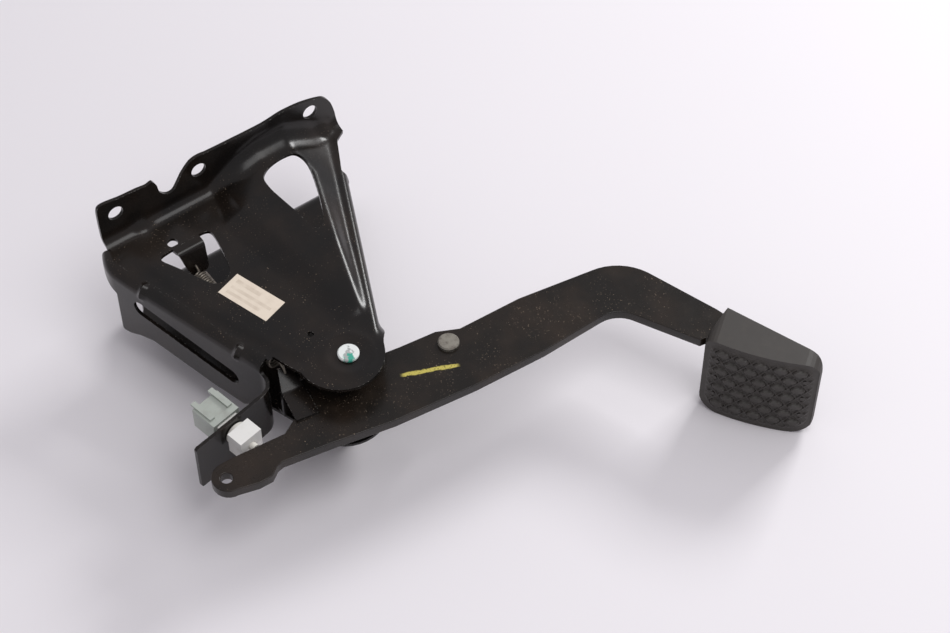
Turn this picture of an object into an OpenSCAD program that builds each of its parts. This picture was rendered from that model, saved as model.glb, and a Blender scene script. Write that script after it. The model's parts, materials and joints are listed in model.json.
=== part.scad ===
// Brake pedal assembly of a commercial vehicle: a folded sheet bracket, a flat lever on a pivot
// bolt, a rubber-covered pad, a return spring and a stop-light switch with its plug.
// Millimetres. The origin is the middle of the four bulkhead bolts, on the bulkhead face.
// +X runs from the bulkhead to the pivot, +Y along the flange, +Z along the pivot axis.

/* [Bulkhead bolts] */
// Distance between the left and the right bolts
bolt_gap_y = 97; // [88:1:104]
// Distance between the upper and the lower bolts
bolt_gap_z = 108; // [104:1:116]
// Distance from the left bolts to the side bolt
side_bolt_gap = 69.5; // [66:0.5:73]
// Diameter of the bolt holes
bolt_hole_d = 12; // [8:0.5:13]
// Sheet left above the upper bolt holes' centres
rim_margin = 13.5; // [12:0.5:16]

/* [Bracket] */
// Thickness of the bracket sheets
sheet_t = 2.5; // [2:0.1:3]
// Height of the upper sheet's face above the lever's underside
upper_face = 28; // [26:0.5:30]
// Depth of the lower sheet's face below the lever's underside
lower_face = 38; // [36:0.5:40]
// Inner radius of the flange bends
bend_r = 9; // [7:0.5:11]
// Height of the raised panel at the flange
panel_h = 17; // [12:0.5:19]
// Radius of the bracket's nose round the pivot
nose_r = 31; // [29:0.5:33]
// Angle of the slotted wall to the X axis
wall_angle = 16.4; // [15:0.1:17.5]
// Width of the slot in the wall
slot_w = 14; // [10:0.5:15]
// Diameter of the trimmed round hole beside the window
plate_hole_d = 8; // [5:0.5:9]

/* [Pivot] */
// Distance of the pivot from the bulkhead
pivot_x = 188; // [185:0.5:191]
// Offset of the pivot from the bolt pattern's middle
pivot_y = -46; // [-48:0.5:-44]
// Diameter of the pivot bolt's shank
pivot_d = 12; // [10:0.5:13]
// Outside diameter of the lever's pivot tube
pivot_tube_d = 26; // [24:0.5:28]
// Bore of the pivot tube
pivot_tube_bore = 17; // [16.5:0.5:19]

/* [Lever] */
// Thickness of the lever plate
lever_t = 8; // [6:0.5:9]
// Width of the lever past the pushrod pin
lever_w = 49; // [44:1:54]
// Diameter of the hole at the lever's tail
tail_hole_d = 8.5; // [6:0.5:9]
// Diameter of the pushrod pin's shank
pushrod_pin_d = 10; // [8:0.5:12]
// Free length of the pushrod pin under the lever
pushrod_pin_free = 24; // [18:1:27]

/* [Pad] */
// Width of the pad's face
pad_w = 84; // [78:1:88]
// Height of the pad's face
pad_h = 80; // [76:1:82]
// Height of the pad's top above the lever's underside
pad_top = 14; // [13:0.5:15]
// Radius of the pad's convex face
pad_face_r = 190; // [150:5:260]
// Thickness of the steel plate in the pad
pad_plate_t = 3; // [2:0.25:4]
// Wall thickness of the rubber cover
rubber_t = 3.5; // [2.5:0.25:4.5]

/* [Switch] */
// Width and height of the switch body
switch_w = 19; // [16:0.5:21]
// Length of the switch body
switch_len = 13.5; // [11:0.5:14]
// Length of the collar between the switch tab and the switch body
collar_len = 3; // [2:0.5:4]
// Travel of the switch plunger
plunger_travel = 3; // [2:0.25:3.5]
// Wire diameter of the return spring
spring_wire = 2; // [1.6:0.1:2.4]
// Outside diameter of the return spring
spring_d = 15; // [12:0.5:16]

/* [Hidden] */
$fn = 48;

// Clearances
run_gap = 0.05;
pass_gap = 0.3;
eps = 0.01;

// Places of the bolts
left_y = -bolt_gap_y / 2;
right_y = bolt_gap_y / 2;
side_y = left_y - side_bolt_gap;
bolt_z = bolt_gap_z / 2;
rim_z = bolt_z + rim_margin;
foot_z = -bolt_z - 12;

// Bracket
upper_in = upper_face - sheet_t;
lower_out = -lower_face;
lower_in = lower_out + sheet_t;
bend_out = bend_r + sheet_t;
flange_y0 = side_y - 14;
flange_y1 = right_y + 22;
lower_flange_y0 = left_y - 61;
wall_at = [27.3, flange_y0 - 7.5];
wall_bend_r = 5.5;
tab_bend_r = 12;
tab_turn = 95.9;
tab_len = 62;
tab_top = upper_face - 12;
tab_foot = tab_top - 44;
tab_hole_x = 28;
slot_from = 24;
slot_to = 108;
slot_drop = 11;
lip_h = 13;
flap_at = [41.5, -83];
flap_turn = 76;
flap_len = 21;
flap_hole = 15;
pivot = [pivot_x, pivot_y];

// Lever, with its outline measured from the pivot
tail_hole = pivot + [25, -118];
lever_tail_a = tail_hole + [-7.5, 52];
lever_tail_b = tail_hole + [-11.8, 14];
pushrod = pivot + [21.3, 70];
pin_rivet_d = pushrod_pin_d - 1.5;
lever_in_r = 22;
stop_x = pivot_x - 14;
stop_at = [stop_x - pass_gap, pivot_y - 35];
buffer_len = 8;

// Pad
pad_at = pivot + [164, 239];
pad_turn = 35.6;
pad_z0 = pad_top - pad_h;

function turn(v, a) = [v.x * cos(a) - v.y * sin(a), v.x * sin(a) + v.y * cos(a)];
function arc(c, r, a0, a1, n) = [for (i = [0 : n]) c + turn([r, 0], a0 + (a1 - a0) * i / n)];
// Angle at which a line from point p touches a circle, on its left or its right
function touch(p, c, r, side) =
    atan2(p.y - c.y, p.x - c.x) + side * acos(r / norm(p - c));

// Way from point s in direction d to the line through a and b
function reach(s, d, a, b) = cross(a - s, b - a) / cross(d, b - a);

// The slotted wall is as long as it takes to hold the switch against the lever's tail
wall_dir = turn([1, 0], wall_angle);
switch_turn = wall_angle - tab_turn + 90;
switch_dir = turn([1, 0], switch_turn);
plunger_d = 6;
plunger_out = plunger_travel + 1;
function switch_at_len(len) = wall_at + turn(
    [len, -tab_bend_r] + turn([tab_hole_x, tab_bend_r + sheet_t], -tab_turn), wall_angle
);
function tip_way(len, side) = reach(
    switch_at_len(len) + turn([0, side * plunger_d / 2], switch_turn), switch_dir, lever_tail_a, lever_tail_b
);
function tip_room(len) = min(tip_way(len, -1), tip_way(len, 1)) - pass_gap;
tip_x = collar_len + switch_len + plunger_out;
wall_len = (tip_room(0) - tip_x) / (tip_room(0) - tip_room(1));
wall_end = wall_at + wall_len * wall_dir;
switch_at = switch_at_len(wall_len);

// A right-angled bend: outer corner at the origin, one leg along +X and one along +Y
module bend_2d(r, leg_x, leg_y) {
    out = r + sheet_t;
    intersection() {
        translate([out, out]) difference() {
            circle(out);
            circle(r);
        }
        square(out);
    }
    if (leg_x > out) translate([out, 0]) square([leg_x - out, sheet_t]);
    if (leg_y > out) translate([0, out]) square([sheet_t, leg_y - out]);
}

// A solid whose section lies in the YZ plane, from x0 on
module along_x(x0, len) {
    translate([x0, 0, 0]) rotate([90, 0, 90]) linear_extrude(len) children();
}

// A solid whose section lies in the XZ plane, from y0 on
module along_y(y0, len) {
    translate([0, y0 + len, 0]) rotate([90, 0, 0]) linear_extrude(len) children();
}

// A slot with round ends, cut along the axis of the extrusion
module slot_2d(len, w) {
    translate([-len / 2, -w / 2]) square([len, w]);
    for (s = [-1, 1]) translate([s * len / 2, 0]) circle(d = w);
}

module bolt_hole(y, z) {
    translate([-5, y, z]) rotate([0, 90, 0]) cylinder(d = bolt_hole_d, h = 5 + 2 * bend_out);
}

// Upper bracket

function upper_flange_pts() = concat(
    [[flange_y0, upper_in]],
    arc([flange_y0 + 6, rim_z - 4], 6, 180, 70, 5),
    arc([left_y - 42, rim_z - 5], 4, 90, 10, 4),
    arc([left_y - 26, bolt_z], 8, 190, 325, 8),
    arc([left_y + 1, bolt_z], rim_margin, 145, 90, 5),
    arc([right_y - 2, bolt_z - 4], rim_margin + 4, 90, 10, 8),
    [[flange_y1, upper_in + 6], [flange_y1, upper_in]]
);

nose_c = pivot + [-3, -4.5];
nose_from = touch([17, flange_y1 - 9], nose_c, nose_r, -1);

// Lip along the straight right edge, and how far the plate stops short of it
lip_r = 3;
lip_a = [48, flange_y1 - 21.5];
lip_b = nose_c + turn([nose_r, 0], nose_from);
lip_dir = (lip_b - lip_a) / norm(lip_b - lip_a);
lip_in = turn(lip_dir, -90) * (lip_r + sheet_t + 0.5);

function upper_plate_pts() = concat(
    [[bend_out, flange_y0], wall_at + turn([1, wall_bend_r + sheet_t + 0.5], wall_angle)],
    [wall_end + turn([-1, wall_bend_r + sheet_t + 0.5], wall_angle)],
    [wall_end + turn([3, 12], wall_angle)],
    arc(nose_c, nose_r, -95, nose_from, 16),
    [lip_b + lip_in, lip_a + lip_in, lip_a],
    [lip_a + [-3, -2.5], [17, flange_y1 - 9], [bend_out, flange_y1]]
);

// Raised panel, lofted through sections that shrink from the flange to the pivot. Each row holds
// X, then Y of the left foot, crest, left and right top and right foot, then the crest's and the top's height
panel_rows = [
    [sheet_t - 1, -40, -36, 1, 19, flange_y1 - 7, 2.5, panel_h + 1],
    [14, -42, -36, 0, 22, flange_y1 - 14, 5, panel_h],
    [40, -52, -35, -3, 26, flange_y1 - 27, panel_h / 2 + 0.5, panel_h - 5.5],
    [102, -44, -28, -14, 4, flange_y1 - 57, panel_h / 2, panel_h - 8],
    [158, -36, -20.5, -18, -15, -11, 2.5, 3],
    [166, -34, -24, -21, -19, -17, 0.4, 0.5]
];
function panel_ring(r) = [
    [r[0], r[1], upper_in], [r[0], r[2], upper_face + r[6]], [r[0], r[3], upper_face + r[7]],
    [r[0], r[4], upper_face + r[7]], [r[0], r[5], upper_in]
];

module raised_panel() {
    n = 5;
    last = n * (len(panel_rows) - 1);
    polyhedron(
        points = [for (r = panel_rows) each panel_ring(r)],
        faces = concat(
            [[for (k = [n - 1 : -1 : 0]) k]],
            [[for (k = [0 : n - 1]) last + k]],
            [for (i = [0 : n : last - 1], k = [0 : n - 1]) each [
                [i + k, i + (k + 1) % n, i + n + k],
                [i + (k + 1) % n, i + n + (k + 1) % n, i + n + k]
            ]]
        )
    );
}

module panel_opening() {
    linear_extrude(upper_face + panel_h + 10) polygon(concat(
        arc([29, -5], 6, 180, 262, 4),
        arc([79, -1], 5, 275, 360, 4),
        arc([79, 1.5], 5, 0, 62, 4),
        arc([31, 19], 8, 65, 180, 5)
    ));
}

module window() {
    translate([0, 0, upper_in - 1]) linear_extrude(sheet_t + 2) polygon(concat(
        arc([40, -98], 4, 180, 285, 4),
        arc([77, -82], 5, 290, 380, 4),
        arc([42, -67], 4.5, 75, 180, 4)
    ));
}

// Flap bent down from the window, with a hole for the spring
module spring_flap() {
    translate([flap_at.x - 7, flap_at.y - 11, upper_in]) cube([8, 22, sheet_t]);
    translate([flap_at.x, flap_at.y, upper_face]) rotate([0, flap_turn, 0]) translate([0, 0, -sheet_t])
        linear_extrude(sheet_t) difference() {
            polygon([[-1, -11], [flap_len, -2], [flap_len, 12], [-1, 11]]);
            translate([flap_hole, 0]) circle(d = 5);
        }
}

module wall_frame() {
    translate(wall_at) rotate(wall_angle) children();
}

// Plan of the wall and of the tab that its end turns outward into
function tab_point(u, v) = [wall_len, -tab_bend_r] + turn([u, v], -tab_turn);
function wall_plan_pts() = concat(
    [[0, 0]],
    arc([wall_len, -tab_bend_r], tab_bend_r, 90, 90 - tab_turn, 10),
    [tab_point(tab_len, tab_bend_r), tab_point(tab_len, tab_bend_r + sheet_t)],
    arc([wall_len, -tab_bend_r], tab_bend_r + sheet_t, 90 - tab_turn, 90, 10),
    [[0, sheet_t]]
);

// Side view of the wall and the tab: a wavy foot, a relief at the bend and a lower tab
wall_bend_z = upper_face - wall_bend_r - sheet_t;
function wall_side_pts() = [
    [-1, lower_out + 1], [8, lower_out + 2], [32, lower_out + 11], [60, lower_out + 8],
    [wall_len - 49, lower_out + 5], [wall_len - 20, lower_out + 4], [wall_len - 8, lower_out + 12],
    [wall_len - 3, lower_out + 26], [wall_len + 2, lower_out + 28], [wall_len + 5, tab_foot],
    [wall_len + 40, tab_foot], [wall_len + 40, tab_top], [wall_len, tab_top],
    [wall_len, wall_bend_z], [-1, wall_bend_z]
];

module slotted_wall() {
    wall_frame() difference() {
        union() {
            translate([0, 0, upper_face]) rotate([90, 0, 90]) mirror([0, 1, 0]) linear_extrude(wall_len)
                bend_2d(wall_bend_r, wall_bend_r + sheet_t + 1, wall_bend_r + sheet_t + 1);
            intersection() {
                translate([0, 0, lower_out]) linear_extrude(upper_face - lower_out) polygon(wall_plan_pts());
                along_y(-100, 150) polygon(wall_side_pts());
            }
        }
        translate([(slot_from + slot_to) / 2, -1, (upper_in + lower_out) / 2 + 3.5]) rotate([-90, 0, 0])
            linear_extrude(sheet_t + 2) rotate(atan2(slot_drop, slot_to - slot_from))
                slot_2d(slot_to - slot_from, slot_w);
    }
}

// Middle of the switch on the tab's outer face, with X along the plunger's axis
module switch_frame() {
    translate([switch_at.x, switch_at.y, lever_t / 2]) rotate(switch_turn) children();
}

module right_lip() {
    translate([lip_a.x, lip_a.y, upper_face]) rotate(atan2(lip_dir.y, lip_dir.x)) translate([1, 0, 0])
        rotate([90, 0, 90]) linear_extrude(norm(lip_b - lip_a) - 2)
            rotate(180) bend_2d(lip_r, lip_r + sheet_t + 1, lip_h);
}

module upper_bracket() color([0.10, 0.09, 0.085]) {
    difference() {
        union() {
            difference() {
                union() {
                    translate([0, 0, upper_in]) linear_extrude(sheet_t) polygon(upper_plate_pts());
                    intersection() {
                        along_y(flange_y0, flange_y1 - flange_y0)
                            translate([0, upper_in]) bend_2d(bend_r, bend_out + 1, rim_z - upper_in + 5);
                        along_x(-1, bend_out + 2) polygon(upper_flange_pts());
                    }
                    raised_panel();
                }
                translate([0, 0, -sheet_t]) raised_panel();
                translate([0, 0, upper_in - 1]) panel_opening();
                window();
            }
            along_y(-8, 28) translate([0, upper_in + panel_h]) bend_2d(bend_r, bend_out, bend_out + 1);
            slotted_wall();
            right_lip();
            spring_flap();
            translate([pivot_x, pivot_y, upper_face]) rotate_extrude()
                polygon([[14, -1], [19.5, -1], [18, 0.8], [15.5, 0.8]]);
        }
        for (y = [side_y, left_y, right_y]) bolt_hole(y, bolt_z);
        translate([pivot_x, pivot_y, upper_in - 1]) cylinder(d = pivot_d + 0.2, h = sheet_t + 2);
        translate([29.7, -90.6, upper_in - 1]) cylinder(d = plate_hole_d, h = sheet_t + 2);
        translate([158, -57.4, upper_in - 1]) cylinder(d = 5, h = sheet_t + 2);
        switch_frame() translate([-sheet_t - 1, 0, 0]) rotate([0, 90, 0]) cylinder(d = 14, h = sheet_t + 2);
    }
}

// Lower bracket

module lower_bracket() color([0.10, 0.09, 0.085]) {
    difference() {
        union() {
            translate([0, 0, lower_out]) linear_extrude(sheet_t) polygon(concat(
                [[bend_out, lower_flange_y0], wall_at + turn([8, sheet_t + 8], wall_angle)],
                [wall_end + turn([-6, sheet_t + 8], wall_angle)],
                arc(nose_c + [1, 0], nose_r, -95, nose_from, 16),
                [[30, flange_y1 - 12], [bend_out, flange_y1]]
            ));
            along_y(lower_flange_y0, flange_y1 - lower_flange_y0) translate([0, lower_in])
                mirror([0, 1]) bend_2d(bend_r, bend_out + 1, lower_in - foot_z);
            wall_frame() translate([8, sheet_t, lower_out]) rotate([90, 0, 90])
                linear_extrude(wall_len - 14) bend_2d(wall_bend_r, wall_bend_r + sheet_t + 1, 18);
        }
        for (y = [left_y, right_y]) bolt_hole(y, -bolt_z);
        translate([pivot_x, pivot_y, lower_out - 1]) cylinder(d = pivot_d + 0.2, h = sheet_t + 2);
    }
}

// Pivot

tube_z0 = lower_in + pass_gap;
tube_z1 = upper_in - pass_gap;

module pivot_tube() color([0.35, 0.35, 0.36]) {
    translate([pivot_x, pivot_y, tube_z0 + 1.5]) difference() {
        cylinder(d = pivot_tube_d, h = tube_z1 - tube_z0 - 3);
        translate([0, 0, -1]) cylinder(d = pivot_tube_bore, h = tube_z1 - tube_z0);
    }
}

// Flanged plastic bush, its flange at the bottom
module bush() {
    difference() {
        union() {
            cylinder(d = pivot_tube_d, h = 1.5);
            cylinder(d = pivot_tube_bore, h = 14);
        }
        translate([0, 0, -1]) cylinder(d = pivot_d + 2 * run_gap, h = 20);
    }
}

module lower_bush() color([0.85, 0.83, 0.76]) {
    translate([pivot_x, pivot_y, tube_z0]) bush();
}

module upper_bush() color([0.85, 0.83, 0.76]) {
    translate([pivot_x, pivot_y, tube_z1]) mirror([0, 0, 1]) bush();
}

bolt_end = foot_z;

module pivot_bolt() color([0.86, 0.90, 0.86]) {
    translate([pivot_x, pivot_y, 0]) {
        translate([0, 0, bolt_end]) cylinder(d = pivot_d, h = upper_face - bolt_end);
        translate([0, 0, upper_face]) cylinder(d = 15.4, h = 1.4);
        translate([0, 0, upper_face + 1.4]) cylinder(d1 = 15.4, d2 = 13.8, h = 0.8);
    }
}

module pivot_washer() color([0.62, 0.62, 0.60]) {
    translate([pivot_x, pivot_y, lower_out - 2]) difference() {
        cylinder(d = 24, h = 2);
        translate([0, 0, -1]) cylinder(d = pivot_d + 0.4, h = 4);
    }
}

module pivot_nut() color([0.62, 0.62, 0.60]) {
    translate([pivot_x, pivot_y, lower_out - 2 - 10]) difference() {
        intersection() {
            cylinder(d = 19 / cos(30), h = 10, $fn = 6);
            cylinder(d1 = 19.5, d2 = 19.5 + 20, h = 10);
        }
        translate([0, 0, -1]) cylinder(d = pivot_d, h = 12);
    }
}

// Lever

function lever_pts() = concat(
    arc(tail_hole + [0, 2], 12.3, 180, 360, 12),
    [tail_hole + [16.5, 16], tail_hole + [17, 26], tail_hole + [12.3, 33], tail_hole + [11.3, 38]],
    [tail_hole + [18, 72], pivot + [53.5, 1]],
    [pivot + [lever_w + 13, 64], pivot + [lever_w + 17.3, 121]],
    arc(pivot + [lever_w + 17.3 + lever_in_r, 172], lever_in_r, 180, 115, 8),
    [pad_point(-46, -3.5), pad_point(-43, -pad_plate_back), pad_point(24, -pad_plate_back)],
    [pad_point(24, -pad_plate_back - 5), pad_point(-26, -27.5)],
    [pivot + [110, 242.5]],
    arc(pivot + [68, 187], 40, 110, 172, 8),
    [pivot + [18, 135], pivot + [15, 85], pivot + [7, 69], pivot + [3, 40]],
    arc(pivot, 24, 90, 215, 10),
    [[stop_x, pivot_y - 28], [stop_x, pivot_y - 42], pivot + [10, -52], lever_tail_a, lever_tail_b]
);
pad_plate_back = rubber_t + pad_plate_t;
function pad_point(u, v) = pad_at + turn([u, -v], pad_turn);

module pedal_lever() color([0.08, 0.075, 0.07]) {
    difference() {
        linear_extrude(lever_t) polygon(lever_pts());
        translate([pivot_x, pivot_y, -1]) cylinder(d = pivot_tube_d, h = lever_t + 2);
        translate([tail_hole.x, tail_hole.y, -1]) cylinder(d = tail_hole_d, h = lever_t + 2);
        translate([pushrod.x, pushrod.y, -1]) cylinder(d = pin_rivet_d, h = lever_t + 2);
    }
}

module pushrod_pin() color([0.66, 0.66, 0.64]) {
    translate([pushrod.x, pushrod.y, 0]) difference() {
        union() {
            translate([0, 0, -pushrod_pin_free]) cylinder(d = pushrod_pin_d, h = pushrod_pin_free);
            cylinder(d = pin_rivet_d, h = lever_t);
            translate([0, 0, lever_t]) cylinder(d = 15.4, h = 2.2);
            translate([0, 0, lever_t + 2.2]) cylinder(d1 = 15.4, d2 = 13.6, h = 0.9);
        }
        translate([0, 0, -pushrod_pin_free + 2.5]) difference() {
            cylinder(d = pushrod_pin_d + 2, h = 1.3);
            cylinder(d = pushrod_pin_d - 2, h = 1.3);
        }
    }
}

// Pad, in a frame with X along the face, Y out of it towards the foot and Z up

module pad_frame() {
    translate(pad_at) rotate(pad_turn) mirror([0, 1, 0]) children();
}

// Plan of the pad: a convex face, a straight back that closes towards the right end
module pad_plan(inset) {
    polygon(concat(
        [[-pad_w / 2 + 8, -33 + inset * 1.4], [-pad_w / 2 + inset, -8]],
        arc([0, 3 - pad_face_r], pad_face_r - inset, 90 + asin((pad_w / 2 - inset) / pad_face_r),
            90 - asin((pad_w / 2 - inset - 2) / pad_face_r), 12),
        arc([pad_w / 2 - 8, -5], 8 - inset / 2, 30, -70, 5)
    ));
}

// Outline of the pad's face, with corners rounded more at the foot
module pad_outline(inset) {
    w = pad_w / 2 - inset;
    polygon(concat(
        arc([-w + 8, pad_top - 8 - inset], 8, 180, 90, 5),
        arc([w - 12, pad_top - 12 - inset], 12, 90, 0, 6),
        arc([w - 18, pad_z0 + 18 + inset], 18, 0, -90, 7),
        arc([-w + 16, pad_z0 + 16 + inset], 16, -90, -180, 6)
    ));
}

module pad_block(inset) {
    intersection() {
        translate([0, 0, pad_z0 - 5]) linear_extrude(pad_h + 10) pad_plan(inset);
        rotate([90, 0, 0]) translate([0, 0, -20]) linear_extrude(70) pad_outline(inset);
    }
}

module pad_plate() color([0.16, 0.16, 0.16]) {
    pad_frame() intersection() {
        pad_block(rubber_t + 0.1);
        translate([-100, -pad_plate_back, -100]) cube([200, 100, 200]);
    }
}

// Raised ovals of the tread, in rows that are staggered by half a pitch
tread_h = 1;
tread_pitch = [14, 9.5];
module pad_tread() {
    intersection() {
        pad_block(-tread_h);
        rotate([-90, 0, 0]) linear_extrude(30) intersection() {
            mirror([0, 1]) pad_outline(6);
            for (j = [0 : 7], i = [-3 : 3])
                translate([(i + (j % 2) / 2) * tread_pitch.x, (j + 0.5) * tread_pitch.y - pad_top + 5])
                    slot_2d(5.5, 3.6);
        }
    }
}

module pad_rubber() color([0.13, 0.12, 0.115]) {
    pad_frame() difference() {
        union() {
            pad_block(0);
            difference() {
                pad_tread();
                pad_block(rubber_t / 2);
            }
        }
        pad_block(rubber_t);
        translate([-60, -60, -pass_gap]) cube([50, 60 - rubber_t, lever_t + 2 * pass_gap]);
        translate([-30, -60, pad_z0 + 12]) cube([44, 40, pad_h - 24]);
    }
}

// Return spring and its strap

strap_z = lever_t;

module spring_strap() color([0.30, 0.30, 0.28]) {
    translate([pivot_x - 10.5, pivot_y - 49.7, strap_z]) rotate(-10) difference() {
        union() {
            translate([0, 0, 0]) cube([25.5, 17, 2]);
            translate([0.8, 0, 0]) rotate([0, 20, 0]) linear_extrude(2)
                polygon([[0, 0], [0, 17], [-16, 13], [-16, 4]]);
        }
        translate([-12, 8.5, -5]) cylinder(d = 4.5, h = 20);
    }
}

hook_r = (spring_d - spring_wire) / 2;
spring_a = [flap_at.x + flap_hole * cos(flap_turn) + hook_r, flap_at.y, upper_face - 15 - hook_r];
spring_b = [pivot_x - 33.8, pivot_y - 39.2, strap_z + 5];

// Loop at the end of the spring, in the plane of its axis
module spring_loop() {
    rotate([0, 90, 0]) rotate([90, 0, 0]) rotate_extrude() translate([hook_r, 0]) circle(d = spring_wire);
}

module return_spring() color([0.55, 0.54, 0.52]) {
    d = spring_b - spring_a;
    translate(spring_a) rotate([0, 0, atan2(d.y, d.x)]) rotate([0, acos(d.z / norm(d)), 0]) {
        translate([0, 0, -hook_r]) spring_loop();
        translate([0, 0, norm(d) + hook_r]) spring_loop();
        translate([0, 0, -spring_wire]) difference() {
            cylinder(d = spring_d, h = norm(d) + 2 * spring_wire);
            translate([0, 0, spring_wire])
                cylinder(d = spring_d - 2 * spring_wire, h = norm(d));
        }
    }
}

// Rest stop: a small angle on the lower sheet that carries a rubber buffer

module stop_bracket() color([0.10, 0.09, 0.085]) {
    translate([stop_at.x - buffer_len, stop_at.y - 8, lower_in]) {
        translate([-18, 0, 0]) cube([18, 16, sheet_t]);
        translate([-sheet_t, 0, 0]) cube([sheet_t, 16, 4 - lower_in]);
    }
}

module stop_buffer() color([0.08, 0.08, 0.08]) {
    translate([stop_at.x - buffer_len, stop_at.y, -2]) rotate([0, 90, 0]) {
        cylinder(d = 10, h = buffer_len - 2);
        translate([0, 0, buffer_len - 2]) cylinder(d1 = 10, d2 = 7, h = 2);
    }
}

// Stop-light switch. The body ends where the plunger, let out, nearly touches the lever's tail.

neck_d = 10;
plunger_in = 3;
pocket_len = plunger_in + plunger_travel + 2;
body_x0 = collar_len;
body_x1 = collar_len + switch_len;
plug_w = [17.4, 12.4];
plug_wall = 2.8;

module switch_sleeve() color([0.90, 0.89, 0.84]) {
    switch_frame() rotate([0, 90, 0]) difference() {
        union() {
            translate([0, 0, -sheet_t]) cylinder(d = neck_d + 3.8, h = sheet_t);
            cylinder(d = neck_d + 7, h = body_x0);
        }
        translate([0, 0, -sheet_t - 1]) cylinder(d = neck_d + 2 * run_gap, h = 20);
    }
}

module switch_body() color([0.92, 0.92, 0.90]) {
    switch_frame() difference() {
        union() {
            translate([body_x0, -switch_w / 2, -switch_w / 2]) cube([switch_len, switch_w, switch_w]);
            translate([-12, 0, 0]) rotate([0, 90, 0]) cylinder(d = neck_d, h = 13 + body_x0);
            translate([-18, -plug_w.x / 2, -plug_w.y / 2]) cube([11, plug_w.x, plug_w.y]);
        }
        translate([body_x1 - pocket_len, 0, 0]) rotate([0, 90, 0])
            cylinder(d = plunger_d + pass_gap, h = pocket_len + 1);
    }
}

module switch_plunger() color([0.75, 0.75, 0.72]) {
    switch_frame() translate([body_x1 - plunger_in, 0, 0]) rotate([0, 90, 0])
        cylinder(d = plunger_d, h = tip_x - body_x1 + plunger_in);
}

module plunger_spring() color([0.6, 0.6, 0.6]) {
    switch_frame() translate([body_x1 - pocket_len, 0, 0]) rotate([0, 90, 0]) difference() {
        cylinder(d = plunger_d - 0.4, h = pocket_len - plunger_in);
        translate([0, 0, -1]) cylinder(d = plunger_d - 1.8, h = pocket_len);
    }
}

module switch_terminals() color([0.75, 0.62, 0.35]) {
    switch_frame() for (y = [-3, 3]) translate([-22.5, y - 0.4, -1.5]) cube([4.5, 0.8, 3]);
}

module connector_housing() color([0.62, 0.64, 0.61]) {
    switch_frame() difference() {
        translate([-30, -plug_w.x / 2 - pass_gap - plug_wall, -plug_w.y / 2 - pass_gap - plug_wall])
            cube([22, plug_w.x + 2 * (pass_gap + plug_wall), plug_w.y + 2 * (pass_gap + plug_wall)]);
        translate([-23, -plug_w.x / 2 - pass_gap, -plug_w.y / 2 - pass_gap])
            cube([20, plug_w.x + 2 * pass_gap, plug_w.y + 2 * pass_gap]);
    }
}

module connector_latch() color([0.50, 0.53, 0.50]) {
    switch_frame() for (y = [-10, 6])
        translate([-33, y, plug_w.y / 2 + pass_gap + plug_wall]) cube([20, 4, 2]);
}

// Paper label, bare

module part_label() color([0.88, 0.85, 0.78]) {
    translate([88, -89, upper_face]) rotate(17) cube([44, 21, 0.2]);
}

upper_bracket();
lower_bracket();
pedal_lever();
pivot_tube();
upper_bush();
lower_bush();
pivot_bolt();
pivot_washer();
pivot_nut();
pushrod_pin();
pad_plate();
pad_rubber();
spring_strap();
return_spring();
stop_bracket();
stop_buffer();
switch_sleeve();
switch_body();
switch_plunger();
plunger_spring();
switch_terminals();
connector_housing();
connector_latch();
part_label();
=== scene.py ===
"""Looks of the brake pedal assembly: stamped sheet bracket, painted lever, rubber pad with its tread,
return spring, stop-light switch and label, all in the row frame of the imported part, in metres."""

import json
import math

import bmesh
import bpy
import numpy as np
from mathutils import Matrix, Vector


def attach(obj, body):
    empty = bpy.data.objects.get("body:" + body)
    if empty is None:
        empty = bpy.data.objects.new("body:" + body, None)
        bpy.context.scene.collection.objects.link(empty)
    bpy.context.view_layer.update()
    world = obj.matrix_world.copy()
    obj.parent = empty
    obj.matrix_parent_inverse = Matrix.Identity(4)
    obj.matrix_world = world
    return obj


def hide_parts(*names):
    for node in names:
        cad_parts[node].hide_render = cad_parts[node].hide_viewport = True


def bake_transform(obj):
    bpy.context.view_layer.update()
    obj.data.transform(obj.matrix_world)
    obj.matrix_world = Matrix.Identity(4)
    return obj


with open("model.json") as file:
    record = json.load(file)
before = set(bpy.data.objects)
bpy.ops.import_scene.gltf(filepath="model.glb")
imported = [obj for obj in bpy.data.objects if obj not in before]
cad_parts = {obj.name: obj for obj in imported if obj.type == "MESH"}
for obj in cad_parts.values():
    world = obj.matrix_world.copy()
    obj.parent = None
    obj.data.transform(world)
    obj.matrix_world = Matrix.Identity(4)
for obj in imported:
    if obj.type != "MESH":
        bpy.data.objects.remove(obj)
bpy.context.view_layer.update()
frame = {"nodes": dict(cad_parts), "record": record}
nodes = frame["nodes"]
scene = bpy.context.scene
MM = 0.001
FLOOR_Z = -0.066


# Camera, floor and lamps

def aim(thing, at):
    """Turns a camera or lamp so that its -Z axis points at a place and its Y axis stays up."""
    way = Vector(at) - thing.location
    thing.rotation_euler = way.to_track_quat("-Z", "Y").to_euler()


def photo_camera():
    """The photograph's own view, found from the ellipses of the bolt holes and the pivot head."""
    data = bpy.data.cameras.new("photo_view")
    data.sensor_width = 36
    data.lens = 87.158
    data.clip_end = 20
    cam = bpy.data.objects.new("photo_view", data)
    scene.collection.objects.link(cam)
    cam.location = (1.0206, -0.5531, 1.2900)
    aim(cam, (0.19188, 0.06012, -0.006))
    scene.camera = cam


def soft_lamp(name, place, at, size, power):
    data = bpy.data.lights.new(name, "AREA")
    data.shape = "RECTANGLE"
    data.size, data.size_y = size
    data.energy = power
    lamp = bpy.data.objects.new(name, data)
    scene.collection.objects.link(lamp)
    lamp.location = place
    aim(lamp, at)


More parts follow.
